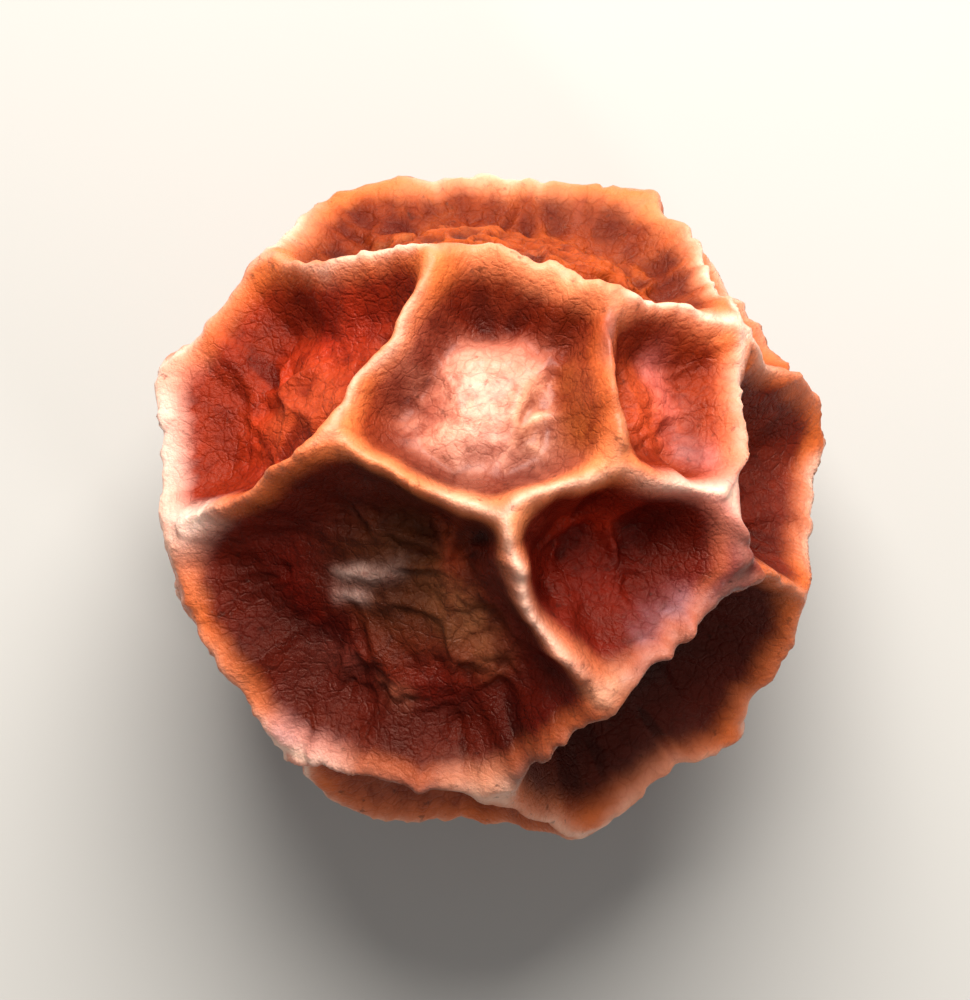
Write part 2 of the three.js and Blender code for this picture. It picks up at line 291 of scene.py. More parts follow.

# Streaks of other colour and small relief, some painted light, highlights or shade as marked: directions of
# the start and the end, half width as a share of the berry's radius, rise in millimetres, tint, and share of
# the tint
STREAKS = [
    # Painted shadow under the ridge above the brow, over a shallow real groove
    ((-0.1, 0.63, 0.77), (0.16, 0.6, 0.78), 0.045, -0.02, (0.4, 0.1, 0.03), 0.85),
    ((0.16, 0.6, 0.78), (0.34, 0.52, 0.78), 0.04, -0.02, (0.44, 0.12, 0.04), 0.8),
    ((-0.14, 0.58, 0.8), (-0.25, 0.42, 0.87), 0.04, -0.02, (0.46, 0.14, 0.04), 0.75),
    ((-0.25, 0.42, 0.87), (-0.27, 0.26, 0.93), 0.035, -0.01, (0.5, 0.16, 0.05), 0.6),
    # The brow's pale pad: partly its own pale tint, partly a painted highlight
    ((-0.2, 0.4, 0.9), (-0.16, 0.26, 0.95), 0.09, 0.0, (0.95, 0.62, 0.5), 0.85),
    ((0.16, 0.36, 0.92), (0.14, 0.24, 0.96), 0.07, 0.0, (0.98, 0.74, 0.56), 0.7),
    ((0.28, 0.42, 0.87), (0.3, 0.2, 0.93), 0.05, 0.0, (0.84, 0.43, 0.13), 0.8),
    ((0.6, 0.47, 0.65), (0.7, 0.13, 0.7), 0.05, 0.03, (0.98, 0.55, 0.5), 0.85),
    # Painted light on the upper left slope, which faces away from the key light
    ((-0.6, 0.62, 0.5), (-0.4, 0.68, 0.62), 0.1, 0.0, (0.85, 0.2, 0.1), 0.6),
    ((-0.7, 0.46, 0.55), (-0.66, 0.14, 0.74), 0.05, -0.03, (0.5, 0.12, 0.05), 0.7),
    ((-0.56, 0.42, 0.71), (-0.54, 0.18, 0.82), 0.05, 0.03, (0.76, 0.3, 0.14), 0.7),
    # Painted highlights: glints on small real bumps in the pit
    ((-0.62, -0.34, 0.71), (-0.52, -0.31, 0.8), 0.036, 0.07, (1.0, 0.9, 0.84), 1.0),
    ((-0.49, -0.32, 0.81), (-0.37, -0.3, 0.88), 0.042, 0.08, (1.0, 0.9, 0.84), 1.0),
    ((-0.62, -0.42, 0.66), (-0.54, -0.42, 0.73), 0.032, 0.06, (1.0, 0.86, 0.8), 1.0),
    ((-0.51, -0.42, 0.75), (-0.41, -0.42, 0.81), 0.036, 0.07, (1.0, 0.86, 0.8), 1.0),
    # Painted shade along the pit's wall, down to its lower lip
    ((-0.84, -0.27, 0.45), (-0.78, -0.46, 0.42), 0.075, 0.0, (0.2, 0.025, 0.012), 0.85),
    ((-0.78, -0.46, 0.42), (-0.58, -0.69, 0.43), 0.075, 0.0, (0.2, 0.025, 0.012), 0.85),
    ((-0.58, -0.69, 0.43), (-0.3, -0.79, 0.54), 0.075, 0.0, (0.2, 0.025, 0.012), 0.85),
    ((-0.3, -0.79, 0.54), (0.1, -0.76, 0.65), 0.075, 0.0, (0.2, 0.025, 0.012), 0.85),
    # Partly the pit floor's own olive-brown, partly painted light where the pit lies in shade
    ((-0.14, -0.34, 0.93), (0.04, -0.58, 0.81), 0.1, 0.03, (0.6, 0.36, 0.22), 0.75),
    # Painted light in the shaded upper middle of the pit
    ((-0.16, -0.12, 0.98), (-0.1, -0.24, 0.96), 0.07, 0.0, (0.72, 0.28, 0.12), 0.75),
    ((-0.64, -0.61, 0.47), (-0.52, -0.66, 0.54), 0.08, 0.02, (0.42, 0.2, 0.16), 0.7),
    ((-0.38, -0.72, 0.58), (-0.28, -0.74, 0.6), 0.04, 0.03, (0.62, 0.34, 0.24), 0.8),
    ((0.7, -0.15, 0.7), (0.6, -0.13, 0.79), 0.08, -0.02, (0.3, 0.05, 0.04), 0.7),
    ((0.27, -0.06, 0.96), (0.46, -0.08, 0.88), 0.07, 0.0, (0.86, 0.22, 0.09), 0.75),
    ((0.3, -0.4, 0.87), (0.42, -0.42, 0.81), 0.06, 0.0, (0.34, 0.07, 0.035), 0.7),
    # Painted highlights: lavender glints on the nook's lip
    ((0.5, -0.4, 0.77), (0.56, -0.36, 0.74), 0.03, 0.03, (0.74, 0.6, 0.64), 0.9),
    ((0.62, -0.34, 0.71), (0.68, -0.28, 0.68), 0.035, 0.03, (0.78, 0.66, 0.7), 0.9),
    ((0.3, 0.95, 0.02), (0.5, 0.86, 0.1), 0.12, 0.0, (0.84, 0.46, 0.26), 0.7),
    ((-0.4, 0.91, 0.12), (-0.1, 0.98, 0.2), 0.024, 0.03, (0.95, 0.62, 0.34), 0.75),
    ((-0.1, 0.98, 0.2), (0.3, 0.94, 0.15), 0.024, 0.03, (0.95, 0.6, 0.32), 0.75),
]

# Creases that run up the crown, all a little different: where across it, upper end and lower end
CROWN_CREASES = [
    (-0.44, 0.3, 0.05),
    (-0.36, 0.42, 0.16),
    (-0.27, 0.24, -0.02),
    (-0.14, 0.44, 0.2),
    (-0.09, 0.26, 0.04),
    (0.04, 0.4, 0.1),
    (0.13, 0.22, -0.04),
    (0.25, 0.44, 0.14),
    (0.31, 0.2, 0.0),
    (0.43, 0.38, 0.08),
]
CROWN_CREASE_HALF_WIDTH = 0.028
CROWN_CREASE_RISE = -0.03
CROWN_CREASE_TINT = (0.4, 0.12, 0.03)
CROWN_CREASE_SHARE = 0.85

# How far out the upper and the lower ends of those creases lie, how far they fan out on their way down, and
# how far they lean
CROWN_UPPER_OUT = 0.95
CROWN_LOWER_OUT = 0.97
CROWN_FAN = 1.2
CROWN_LEAN = 0.1

# The coarse net of wrinkles on some floors: how strong it is in each of those hollows, the tints of its
# crests and its cells, and their shares
NET_STRENGTHS = {
    "crown": 1.0,
    "jaw": 0.35,
    "ear": 0.6,
    "temple": 0.4,
    "hip": 0.7,
    "fold": 0.5,
    "back": 0.6,
}
NET_CREST_TINT = (0.76, 0.34, 0.12)
NET_CELL_TINT = (0.36, 0.1, 0.025)
NET_CREST_SHARE = 0.75
NET_CELL_SHARE = 0.7

# What red, green and blue light each add to how bright a colour looks
BRIGHTNESS = (0.21, 0.72, 0.07)

# How bright a tint starts to shine and over what further brightness it comes to shine fully, and how much the
# pale crests and the rims shine
SHINE_START = 0.14
SHINE_GROWTH = 0.3
CREST_SHINE = 0.6
RIM_SHINE = 0.8

# The span of the finer relief that the material tells apart, in millimetres, and how strong the painted
# shade at the ridges' feet is
RELIEF_SPAN = 0.16
FOOT_SHADE_STRENGTH = 3

# Patterns of noise on the skin: changes in a millimetre, detail, roughness and, apart from the grain,
# distortion and the values of the noise where the pattern starts and is full
PATCHES = (1.1, 4, 0.6, 0.4, 0.35, 0.65)
MOTTLE = (4.5, 5, 0.65, 0.3, 0.42, 0.7)
SPECKS = (11, 3, 0.6, 0.0, 0.62, 0.74)
DRY_PATCHES = (1.5, 3, 0.6, 0.0, 0.4, 0.62)
ROUGH_PATCHES = (3.5, 4, 0.6, 0.0, 0.3, 0.7)
SKIN_GRAIN = (24, 4, 0.65)

# Cells of the leathery nets of grooves in a millimetre. Measured in a net's own cells: how wide a groove is,
# how far the net is bent sideways, and how often the bend changes. Last, the detail of the bend's noise.
WIDE_CELLS = 3.6
SMALL_CELLS = 10
CELL_GROOVE = 0.13
CELL_BEND = 0.9
CELL_BEND_FREQUENCY = 0.8
CELL_BEND_DETAIL = 3

# What lies over the skin's own colour: share and tint. The shades multiply what is under them.
PATCH_SHADE = (0.6, (0.86, 0.66, 0.6))
MOTTLE_SHADE = (0.8, (0.7, 0.55, 0.52))
# Painted shade at the ridges' feet
FOOT_SHADE_PAINT = (0.6, (0.34, 0.07, 0.025))
RIB_PAINT = (0.85, (0.88, 0.42, 0.18))
# Partly the crests' own paleness, partly a painted highlight
CREST_HIGHLIGHT_PAINT = (0.9, (1.0, 0.82, 0.72))
# Painted shade in the creases of the finer relief
PAINTED_CREASE_SHADE = (0.7, (0.62, 0.4, 0.36))
WIDE_CELL_SHADE = (0.2, (0.6, 0.4, 0.36))
SMALL_CELL_SHADE = (0.2, (0.65, 0.45, 0.4))
SPECK_PAINT = (0.5, (0.16, 0.05, 0.03))

# The relief's values between which the painted shade in a crease comes in, and the ridge's values between
# which its colour comes in
PAINTED_CREASE_SHADE_VALUES = (0.52, 0.3)
RIB_VALUES = (0.5, 1.0)

# How much of the small cells is left on a ridge, how deep they are beside the grain, how much of both is left
# where the skin shines, how rough the skin is at least and at most, and how strong its gloss is
CELLS_ON_RIBS = 0.4
CELL_DEPTH = 0.22
GRAIN_ON_SHINE = 0.55
ROUGHNESS = (0.24, 0.44)
COAT = 0.28

# The sockets of a mix node that take its share and its two colours, and the one that gives the mixed colour
SHARE_SOCKET = 0
FIRST_COLOUR_SOCKET = 6
SECOND_COLOUR_SOCKET = 7
MIXED_COLOUR_SOCKET = 2

# Half the width of the floor, in metres, and its colour
FLOOR_HALF = 0.4
FLOOR_TINT = (0.74, 0.73, 0.71)

# Each light's place and width in metres, power in watts and colour, and the strength of the pale surround
KEY_LIGHT = ((0.001, 0.024, 0.028), 0.03, 0.032, (1.0, 0.97, 0.93))
FILL_LIGHT = ((0.021, -0.026, 0.034), 0.008, 0.003, (1.0, 1.0, 1.0))
SURROUND = 0.2

# The camera, in millimetres: how wide the picture is at the berry, how far off the lens is, and its sensor
VIEW_WIDTH = 7.4
VIEW_DISTANCE = 40
SENSOR_WIDTH = 36

# How far above the spot the berry's middle is, as a share of half its height over the ridges
SPOT_CUT = math.sqrt(1 - (SPOT_RADIUS / (WIDTH / 2)) ** 2)
HALF_HEIGHT = HEIGHT / (1 + SPOT_CUT)
MIDDLE_HEIGHT = HALF_HEIGHT * SPOT_CUT

# The plump berry inside the ridges
HALF_SIZE = np.array([WIDTH / 2, LENGTH / 2, HALF_HEIGHT]) - RIDGE_HEIGHT * MIDDLE_STRENGTH

HOLLOW_NAMES = list(dict.fromkeys(seed[0] for seed in SEEDS))
SEED_HOLLOWS = [HOLLOW_NAMES.index(seed[0]) for seed in SEEDS]
SEED_MIDDLES = np.array([np.array(seed[1]) / np.linalg.norm(seed[1]) for seed in SEEDS])
SEED_REACHES = np.array([seed[2] for seed in SEEDS])
SEED_BOWLS = np.array([seed[4] for seed in SEEDS])
SEED_ROUNDS = np.array([seed[5] for seed in SEEDS])
HOLLOW_DEPTHS = np.array([next(seed[3] for seed in SEEDS if seed[0] == name) for name in HOLLOW_NAMES])


def crown_crease(across, top, foot):
    """The streak of one crease on the crown."""
    start = (across, CROWN_UPPER_OUT, top)
    end = (CROWN_FAN * across + CROWN_LEAN * (top - foot), CROWN_LOWER_OUT, foot)
    return start, end, CROWN_CREASE_HALF_WIDTH, CROWN_CREASE_RISE, CROWN_CREASE_TINT, CROWN_CREASE_SHARE


STREAKS += [crown_crease(*crease) for crease in CROWN_CREASES]


def corner_value(i, j, k, layer):
    """A repeatable number from 0 to 1 for each corner of a cubic lattice."""
    mixed = MIX_SIZE * np.sin(i * MIX[0] + j * MIX[1] + k * MIX[2] + layer * MIX[3])
    return mixed - np.floor(mixed)


def noise(points, frequency, layer):
    """Smooth noise from -1 to 1 at each point, different for each layer."""
    scaled = points * frequency
    low = np.floor(scaled)
    weight = scaled - low
    # Rises from 0 to 1 with no kink at either end
    weight = weight * weight * weight * (weight * (weight * 6 - 15) + 10)
    total = np.zeros(len(points))
    for corner in range(8):
        step = np.array([corner & 1, (corner >> 1) & 1, (corner >> 2) & 1])
        share = np.prod(np.where(step, weight, 1 - weight), axis=1)
        i, j, k = (low + step).T
        total += share * corner_value(i, j, k, layer)
    return 2 * total - 1


def change(points, settings):
    """One of the smooth random changes at each point."""
    size, frequency, layer = settings
    return size * noise(points, frequency, layer)


def uneven(points, settings):
    """One of the shares that change smoothly from place to place."""
    middle, *spread = settings
    return middle + change(points, spread)


def push(points, settings):
    """The same change along each of the three axes, all different."""
    size, frequency, layer = settings
    return size * np.stack([noise(points, frequency, layer + axis) for axis in range(3)], axis=1)


def wavered(directions):
    """Directions pushed sideways, so that the ridges waver and kink as on shrunken skin."""
    return directions + push(directions, WAVER) + push(directions, KINK)


def seed_distances(points):
    """Distance of each point from each seed's middle."""
    return np.linalg.norm(points[:, None, :] - SEED_MIDDLES[None], axis=2)


def seed_weights(points, softness):
    """How strongly each seed claims each point."""
    gaps = seed_distances(points) - SEED_REACHES
    weights = np.exp((gaps.min(axis=1, keepdims=True) - gaps) / softness)
    return weights / weights.sum(axis=1, keepdims=True)


def hollow_shares(points, softness):
    """How much of a point belongs to each hollow: nearly all to one on its floor, shared on a ridge."""
    weights = seed_weights(points, softness)
    shares = np.zeros((len(points), len(HOLLOW_NAMES)))
    for seed, hollow in enumerate(SEED_HOLLOWS):
        shares[:, hollow] += weights[:, seed]
    return shares


def ridge_net(shares):
    """0 on a hollow's floor, 1 on the line between two hollows, 4/3 where three meet."""
    return 2 * (1 - (shares * shares).sum(axis=1))


def net_share(points, softness):
    """The net of ridges at each point, from 0 to 1."""
    return np.clip(ridge_net(hollow_shares(points, softness)), 0, 1)


def plump_radius(directions):
    """Distance of the smooth, unshrunk berry's surface from its middle."""
    return (1 + change(directions, SWELL)) / np.linalg.norm(directions / HALF_SIZE, axis=1)


def round_middles(points):
    """How much of a point lies in the round middle round each seed."""
    return np.exp(-(seed_distances(points) / SEED_ROUNDS) ** ROUND_EDGE)


def hollow_depth(points):
    """How far the hollows take a point down below the ridges."""
    shares = hollow_shares(points, HOLLOW_SOFTNESS)
    sunk = 1 - ridge_net(shares)
    sunk = np.where(sunk > 0, sunk, sunk * JUNCTION_RISE)
    return (shares @ HOLLOW_DEPTHS) * sunk + round_middles(points) @ SEED_BOWLS


def skin_radius(directions, points):
    """Distance of the shrunken skin from the berry's middle, as in the solid."""
    ridge = np.minimum(ridge_net(hollow_shares(points, RIDGE_SOFTNESS)), RIDGE_LIMIT)
    strength = MIDDLE_STRENGTH + change(directions, STRENGTH)
    return plump_radius(directions) - hollow_depth(points) + RIDGE_HEIGHT * strength * ridge


def nearest_two(points, frequency, layer):
    """Distances to the two nearest of a scatter of dots, one dot in each cube of a lattice."""
    scaled = points * frequency
    low = np.floor(scaled)
    first = np.full(len(points), FURTHER_THAN_ANY_DOT)
    second = np.full(len(points), FURTHER_THAN_ANY_DOT)
    steps = [(i, j, k) for i in (-1, 0, 1) for j in (-1, 0, 1) for k in (-1, 0, 1)]
    for step in steps:
        cell = low + step
        i, j, k = cell.T
        dots = cell + np.stack([corner_value(i, j, k, layer + axis) for axis in range(3)], axis=1)
        gap = np.linalg.norm(scaled - dots, axis=1)
        second = np.minimum(second, np.maximum(first, gap))
        first = np.minimum(first, gap)
    return first, second


def crackle(points, frequency, layer):
    """A fine net of wrinkles: 1 on each wrinkle's crest and 0 between them."""
    bend = (NET_BEND / frequency, NET_BEND_FREQUENCY * frequency, layer + NET_BEND_LAYER)
    first, second = nearest_two(points + push(points, bend), frequency, layer)
    return np.exp(-((second - first) / NET_CREST_WIDTH) ** 2)


def pleats(points):
    """Creases that run from each hollow's floor up to its ridges, from about -1 to 1."""
    weights = seed_weights(points, HOLLOW_SOFTNESS)
    total = np.zeros(len(points))
    for seed, middle in enumerate(SEED_MIDDLES):
        near = weights[:, seed] > PLEAT_CLAIM
        side = np.cross(middle, NO_SEEDS_DIRECTION)
        side /= np.linalg.norm(side)
        up = np.cross(middle, side)
        away = points[near] - middle
        x, y = away @ side, away @ up
        distance = np.hypot(x, y) + TINY
        out = PLEAT_MOVE * distance + PLEAT_SHIFT * seed
        ring = np.stack([PLEAT_RING * x / distance, PLEAT_RING * y / distance, out], axis=1)
        growth = np.clip((distance - PLEAT_START) / PLEAT_GROWTH, 0, 1)
        total[near] += weights[near, seed] * growth * sum(change(ring, wave) for wave in PLEAT_WAVES)
    return total


def away_from(points, middle):
    """Distance of each point from one direction, as a share of the berry's radius."""
    return np.linalg.norm(points - np.array(middle) / np.linalg.norm(middle), axis=1)


def scar_relief(points):
    """The stalk's scar: a low ring round a small sunk and torn middle, from about -1 to 1."""
    away = away_from(points, SCAR_MIDDLE) / SCAR_RADIUS
    ring = np.exp(-((away - 1) / SCAR_RING_WIDTH) ** 2)
    torn = np.exp(-(away / SCAR_TORN_SIZE) ** ROUND_EDGE) * uneven(points, TORN)
    return ring - torn


def tip_relief(points):
    """The dry tip of the flower: a small blunt cone, 1 at its point."""
    return np.exp(-(away_from(points, TIP_MIDDLE) / TIP_RADIUS) ** 2)


def streak_shares(points, streaks):
    """How much of each point lies in each of the streaks."""
    shares = np.zeros((len(points), len(streaks)))
    for streak, (start, end, half_width, *_) in enumerate(streaks):
        start, end = (np.array(place) / np.linalg.norm(place) for place in (start, end))
        run = end - start
        along = np.clip((points - start) @ run / (run @ run), 0, 1)
        gap = np.linalg.norm(points - start - along[:, None] * run, axis=1)
        shares[:, streak] = np.exp(-(gap / half_width) ** 2)
    return shares


def coarse_net(directions, shares):
    """How much of each point lies on the crests and in the cells of the coarse net of wrinkles."""
    strength = shares @ [NET_STRENGTHS.get(name, 0.0) for name in HOLLOW_NAMES]
    crests = crackle(directions, *COARSE_NET)
    return strength * crests, strength * (1 - crests)


def fine_relief(directions, points, shares, rib, net_crests):
    """How far the finer relief stands out from the solid's surface, in millimetres."""
    slope = np.clip(SLOPE_STRENGTH * ridge_net(shares), 0, 1) * (1 - RIB_CALM * rib)
    rise = PLEAT_DEPTH * slope * pleats(points)
    rise += WRINKLE_HEIGHT * crackle(directions, *WRINKLES) * np.clip(uneven(directions, WRINKLED), 0, 1)
    rise += CRACKLE_HEIGHT * crackle(directions, *CRACKLE) * np.clip(uneven(directions, CRACKLED), 0, 1)
    rise += LUMP_HEIGHT * (1 - rib) * noise(directions, *LUMPS)
    rise += GRAIN_HEIGHT * (noise(directions, *GRAIN) + FINE_GRAIN_SHARE * noise(directions, *FINE_GRAIN))
    rise += NET_HEIGHT * net_crests
    rise += SCAR_HEIGHT * scar_relief(points) + TIP_HEIGHT * tip_relief(points)
    rise += streak_shares(points, STREAKS) @ [streak[3] for streak in STREAKS]
    return rise


def ball_grid(steps):
    """The six faces of a cube blown up into a ball: directions, and the corners of each square."""
    line = np.tan(np.linspace(-math.pi / 4, math.pi / 4, steps + 1))
    across, along = np.meshgrid(line, line, indexing="ij")
    index = np.arange((steps + 1) ** 2).reshape(steps + 1, steps + 1)
    round_each = [index[:-1, :-1], index[1:, :-1], index[1:, 1:], index[:-1, 1:]]
    square = np.stack(round_each, axis=-1).reshape(-1, 4)
    corners = []
    squares = []
    for axis in range(3):
        for sign in (-1, 1):
            face = np.zeros((steps + 1, steps + 1, 3))
            face[..., axis] = sign
            face[..., (axis + 1) % 3] = across * sign
            face[..., (axis + 2) % 3] = along
            squares.append(square + len(corners) * index.size)
            corners.append(face.reshape(-1, 3))
    directions = np.concatenate(corners)
    directions /= np.linalg.norm(directions, axis=1, keepdims=True)
    # The corners along the cube's edges lie on two or three faces, and become one each
    _, first, shared = np.unique(np.round(directions, 6), axis=0, return_index=True, return_inverse=True)
    return directions[first], shared.reshape(-1)[np.concatenate(squares)]


def to_linear(tint):
    """A screen colour as the linear light that materials take, by the sRGB formula."""
    tint = np.asarray(tint, dtype=float)
    return np.where(tint <= 0.04045, tint / 12.92, ((tint + 0.055) / 1.055) ** 2.4)


def skin_tints(points, shares, net_crests, net_cells):
    """The skin's colour at each point, without its mottling: its own colour, with painted light, highlights
    and shade in some middles and streaks.
    """
    tints = shares @ to_linear([TINTS.get(name, PLAIN_TINT) for name in HOLLOW_NAMES])
    middles = np.exp(-(seed_distances(points) / (TINT_ROUND * SEED_ROUNDS)) ** TINT_EDGE)
    layers = []
    for (name, *_), share in zip(SEEDS, middles.T):
        if name in MIDDLE_TINTS:
            layers.append((MIDDLE_TINTS[name], share))
    for (*_, tint, strength), share in zip(STREAKS, streak_shares(points, STREAKS).T):
        layers.append((tint, strength * share))
    layers.append((NET_CELL_TINT, NET_CELL_SHARE * net_cells))
    layers.append((NET_CREST_TINT, NET_CREST_SHARE * net_crests))
    for tint, share in layers:
        tints = tints * (1 - share[:, None]) + to_linear(tint) * share[:, None]
    return tints


def rim_tints(points, rib):
    """The colour of the pale and peach stretches of ridge, the palest of them painted highlights, and how
    much of a point it covers.
    """
    shares = streak_shares(points, RIMS) * np.array([rim[4] for rim in RIMS])
    total = shares.sum(axis=1)
    tints = shares @ to_linear([rim[3] for rim in RIMS]) / (total[:, None] + TINY)
    return tints, np.clip(total, 0, 1) * np.clip((rib - RIM_FOOT) / (RIM_TOP - RIM_FOOT), 0, 1)


def pale_highlit_crests(directions, points):
    """How much of each point lies on the pale line along a crest, partly own paleness, partly a painted
    highlight.
    """
    paleness = uneven(directions, PALE) + streak_shares(points, PALE_HIGHLIGHT_RIMS) @ [rim[3] for rim in PALE_HIGHLIGHT_RIMS]
    return net_share(points, PALE_HIGHLIGHT_SOFTNESS) * np.clip(paleness, LEAST_PALENESS, 1)


def shine(tints, crest, rim_share):
    """How much each point shines."""
    bright = (tints @ BRIGHTNESS - SHINE_START) / SHINE_GROWTH
    return np.clip(np.maximum.reduce([bright, CREST_SHINE * crest, RIM_SHINE * rim_share]), 0, 1)


def add_mesh(name, corners, faces):
    """A new object whose mesh has the given corners, in metres, and faces."""
    mesh = bpy.data.meshes.new(name)
    mesh.from_pydata(corners, [], faces)
    piece = bpy.data.objects.new(name, mesh)
    bpy.context.collection.objects.link(piece)
    return piece


def add_share(mesh, name, shares):
    """Stores a number for each corner, for the material to read."""
    attribute = mesh.attributes.new(name, "FLOAT", "POINT")
    attribute.data.foreach_set("value", shares.astype(np.float32))


def add_tint(mesh, name, colours):
    """Stores a colour for each corner, for the material to read."""
    attribute = mesh.attributes.new(name, "FLOAT_COLOR", "POINT")
    rgba = np.concatenate([colours, np.ones((len(colours), 1))], axis=1)
    attribute.data.foreach_set("color", rgba.astype(np.float32).ravel())


def make_skin():
    """The visible berry: one closed mesh with its relief, and how ridged, sunk and tinted it is."""
    directions, squares = ball_grid(GRID_STEPS)
    points = wavered(directions)
    shares = hollow_shares(points, HOLLOW_SOFTNESS)
    rib = net_share(points, RIDGE_SOFTNESS)
    net_crests, net_cells = coarse_net(directions, shares)
    fine = fine_relief(directions, points, shares, rib, net_crests)
    crest_rise = CREST_HEIGHT * uneven(directions, WORN) * net_share(points, CREST_SOFTNESS)
    radius = skin_radius(directions, points) + crest_rise + fine - RELIEF_FOOT
    places = directions * radius[:, None]
    places[:, 2] = np.maximum(places[:, 2] + MIDDLE_HEIGHT, 0)
    skin = add_mesh("peppercorn_skin", (places * MM).tolist(), squares.tolist())

    mesh = skin.data
    mesh.polygons.foreach_set("use_smooth", np.ones(len(mesh.polygons), dtype=bool))
    tints = skin_tints(points, shares, net_crests, net_cells)
    rims, rim_share = rim_tints(points, rib)
    # The pale crest line: partly own paleness, partly a painted highlight
    crest = pale_highlit_crests(directions, points)
    # Painted shade at the foot of each ridge, where it meets the hollows
    groove = FOOT_SHADE_STRENGTH * ridge_net(hollow_shares(points, FOOT_SHADE_SOFTNESS)) * (1 - rib) ** 2
    add_tint(mesh, "tint", tints)
    add_tint(mesh, "rim", rims)
    add_share(mesh, "rim_share", rim_share)
    add_share(mesh, "rib", rib)
    add_share(mesh, "crest", crest)
    add_share(mesh, "shine", shine(tints, crest, rim_share))
    add_share(mesh, "relief", np.clip(0.5 + fine / RELIEF_SPAN, 0, 1))
    add_share(mesh, "groove", np.clip(groove, 0, 1))
    mesh.update()
    return skin


class Nodes:
    """Short calls for adding nodes to one material."""

    def __init__(self, name):
        self.material = bpy.data.materials.new(name)
        self.material.use_nodes = True
        self.tree = self.material.node_tree
        self.shader = self.tree.nodes["Principled BSDF"]

    def link(self, source, target):
        """Leads one node's result into another node."""
        self.tree.links.new(source, target)

    def attribute(self, name):
        """The node that reads something that the mesh stores."""
        node = self.tree.nodes.new("ShaderNodeAttribute")
        node.attribute_name = name
        return node

    def tint(self, name):
        """A colour that the mesh stores."""
        return self.attribute(name).outputs["Color"]

    def share(self, name):
        """A number that the mesh stores."""
        return self.attribute(name).outputs["Fac"]

    def math(self, operation, first, second):
        """A result and another one, or a number, taken together."""
        node = self.tree.nodes.new("ShaderNodeMath")
        node.operation = operation
        self.link(first, node.inputs[0])
        if isinstance(second, float):
            node.inputs[1].default_value = second
        else:
            self.link(second, node.inputs[1])
        return node.outputs[0]

    def spread(self, source, low, high, to_low=0.0, to_high=1.0):
        """A value taken smoothly from one span to another."""
        node = self.tree.nodes.new("ShaderNodeMapRange")
        node.interpolation_type = "SMOOTHSTEP"
        self.link(source, node.inputs["Value"])
        node.inputs["From Min"].default_value = low
        node.inputs["From Max"].default_value = high
        node.inputs["To Min"].default_value = to_low
        node.inputs["To Max"].default_value = to_high
        return node.outputs["Result"]

    def place(self):
        """The place on the berry in millimetres."""
        here = self.tree.nodes.new("ShaderNodeTexCoord")
        return self.vector("SCALE", here.outputs["Object"], 1 / MM)

    def noise(self, place, scale, detail, roughness, distortion=0.0):
        """Smooth noise, from 0 to 1."""
        node = self.tree.nodes.new("ShaderNodeTexNoise")
        self.link(place, node.inputs["Vector"])
        node.inputs["Scale"].default_value = scale
        node.inputs["Detail"].default_value = detail
        node.inputs["Roughness"].default_value = roughness
        node.inputs["Distortion"].default_value = distortion
        return node.outputs["Fac"]

    def pattern(self, place, settings, to_low=0.0, to_high=1.0):
        """One of the patterns of noise on the skin."""
        *noise_settings, low, high = settings
        return self.spread(self.noise(place, *noise_settings), low, high, to_low, to_high)

    def vector(self, operation, first, second):
        """A place or a direction, scaled by a number or taken together with another one."""
        node = self.tree.nodes.new("ShaderNodeVectorMath")
        node.operation = operation
        self.link(first, node.inputs[0])
        if operation == "SCALE":
            node.inputs["Scale"].default_value = second
        elif isinstance(second, tuple):
            node.inputs[1].default_value = second
        else:
            self.link(second, node.inputs[1])
        return node.outputs["Vector"]

    def bent(self, place, scale, amount):
        """A place pushed sideways by noise, so that a pattern on it loses its straight lines."""
        node = self.tree.nodes.new("ShaderNodeTexNoise")
        self.link(place, node.inputs["Vector"])
        node.inputs["Scale"].default_value = scale
        node.inputs["Detail"].default_value = CELL_BEND_DETAIL
        sideways = self.vector("SUBTRACT", node.outputs["Color"], (0.5, 0.5, 0.5))
        return self.vector("ADD", place, self.vector("SCALE", sideways, amount))

    def leather(self, place, scale):
        """A net of fine grooves round small cells, as in leather: 1 in a groove and 0 on a cell."""
        node = self.tree.nodes.new("ShaderNodeTexVoronoi")
        node.feature = "DISTANCE_TO_EDGE"
        bent = self.bent(place, CELL_BEND_FREQUENCY * scale, CELL_BEND / scale)
        self.link(bent, node.inputs["Vector"])
        node.inputs["Scale"].default_value = scale
        return self.spread(node.outputs["Distance"], CELL_GROOVE, 0.0)

    def mix(self, share, first, second, blend="MIX"):
        """The first colour with a share of the second one laid over it."""
        node = self.tree.nodes.new("ShaderNodeMix")
        node.data_type = "RGBA"
        node.blend_type = blend
        self.link(share, node.inputs[SHARE_SOCKET])
        self.link(first, node.inputs[FIRST_COLOUR_SOCKET])
        if isinstance(second, tuple):
            node.inputs[SECOND_COLOUR_SOCKET].default_value = (*to_linear(second), 1)
        else:
            self.link(second, node.inputs[SECOND_COLOUR_SOCKET])
        return node.outputs[MIXED_COLOUR_SOCKET]

    def paint(self, colour, where, layer, blend="MIX"):
        """One of the paints over a colour."""
        strength, tint = layer
        return self.mix(self.math("MULTIPLY", where, strength), colour, tint, blend)

    def shade(self, colour, where, layer):
        """One of the shades over a colour."""
        return self.paint(colour, where, layer, "MULTIPLY")


